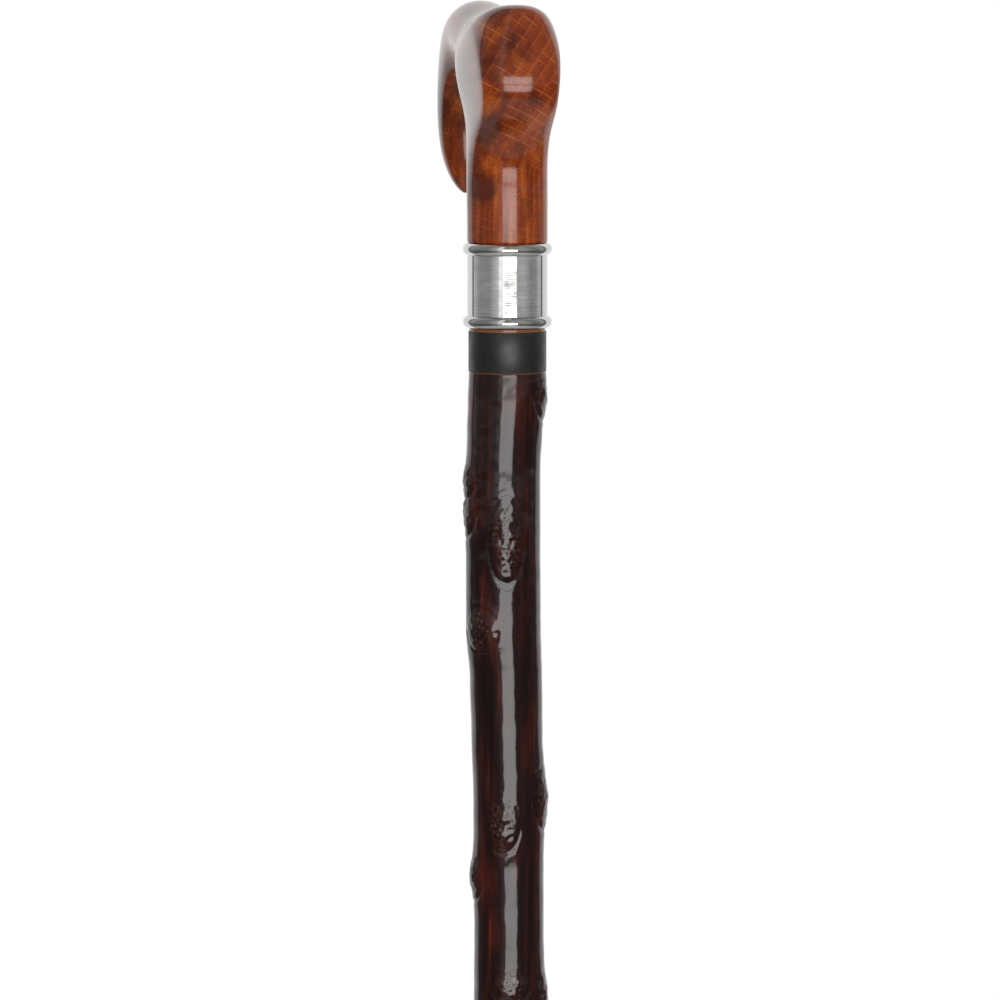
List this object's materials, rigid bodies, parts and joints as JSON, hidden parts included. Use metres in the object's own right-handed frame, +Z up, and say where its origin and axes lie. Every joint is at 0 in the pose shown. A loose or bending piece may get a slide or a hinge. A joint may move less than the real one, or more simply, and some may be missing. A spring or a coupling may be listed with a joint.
{
  "type": "derby walking cane",
  "caption": "Walking cane with a carved derby handle, polished beaded collar, knotty tapered wooden shaft and a flared rubber tip that pulls off.",
  "frame": {"origin": "centre of the rubber tip's sole, on the ground plane", "axes": "+Z up along the cane's straight axis, -X the way the hook of the handle points, +X the heel of the handle, +Y to the right of a person who looks along -X"},
  "size_m": [0.1145, 0.033, 0.914],
  "materials": {
    "handle_wood": "red-brown stain under gloss lacquer",
    "rod_steel": "plain drawn steel",
    "collar_metal": "mirror polish",
    "shaft_wood": "dark natural bark wood under gloss lacquer",
    "band_film": "satin black film, bare",
    "tip_rubber": "matt black moulded rubber",
    "washer_steel": "zinc-plated steel"
  },
  "bodies": {
    "cane": {"handle": "handle_wood", "joining_rod": "rod_steel", "collar": "collar_metal", "shaft": "shaft_wood", "label_band": "band_film"},
    "tip": {"rubber_tip": "tip_rubber", "tip_washer": "washer_steel"}
  },
  "joints": [
    {"name": "tip_pull_off", "type": "slide", "parent": "cane", "child": "tip", "axis": [0, 0, -1], "range_m": [0, 0.036]}
  ]
}
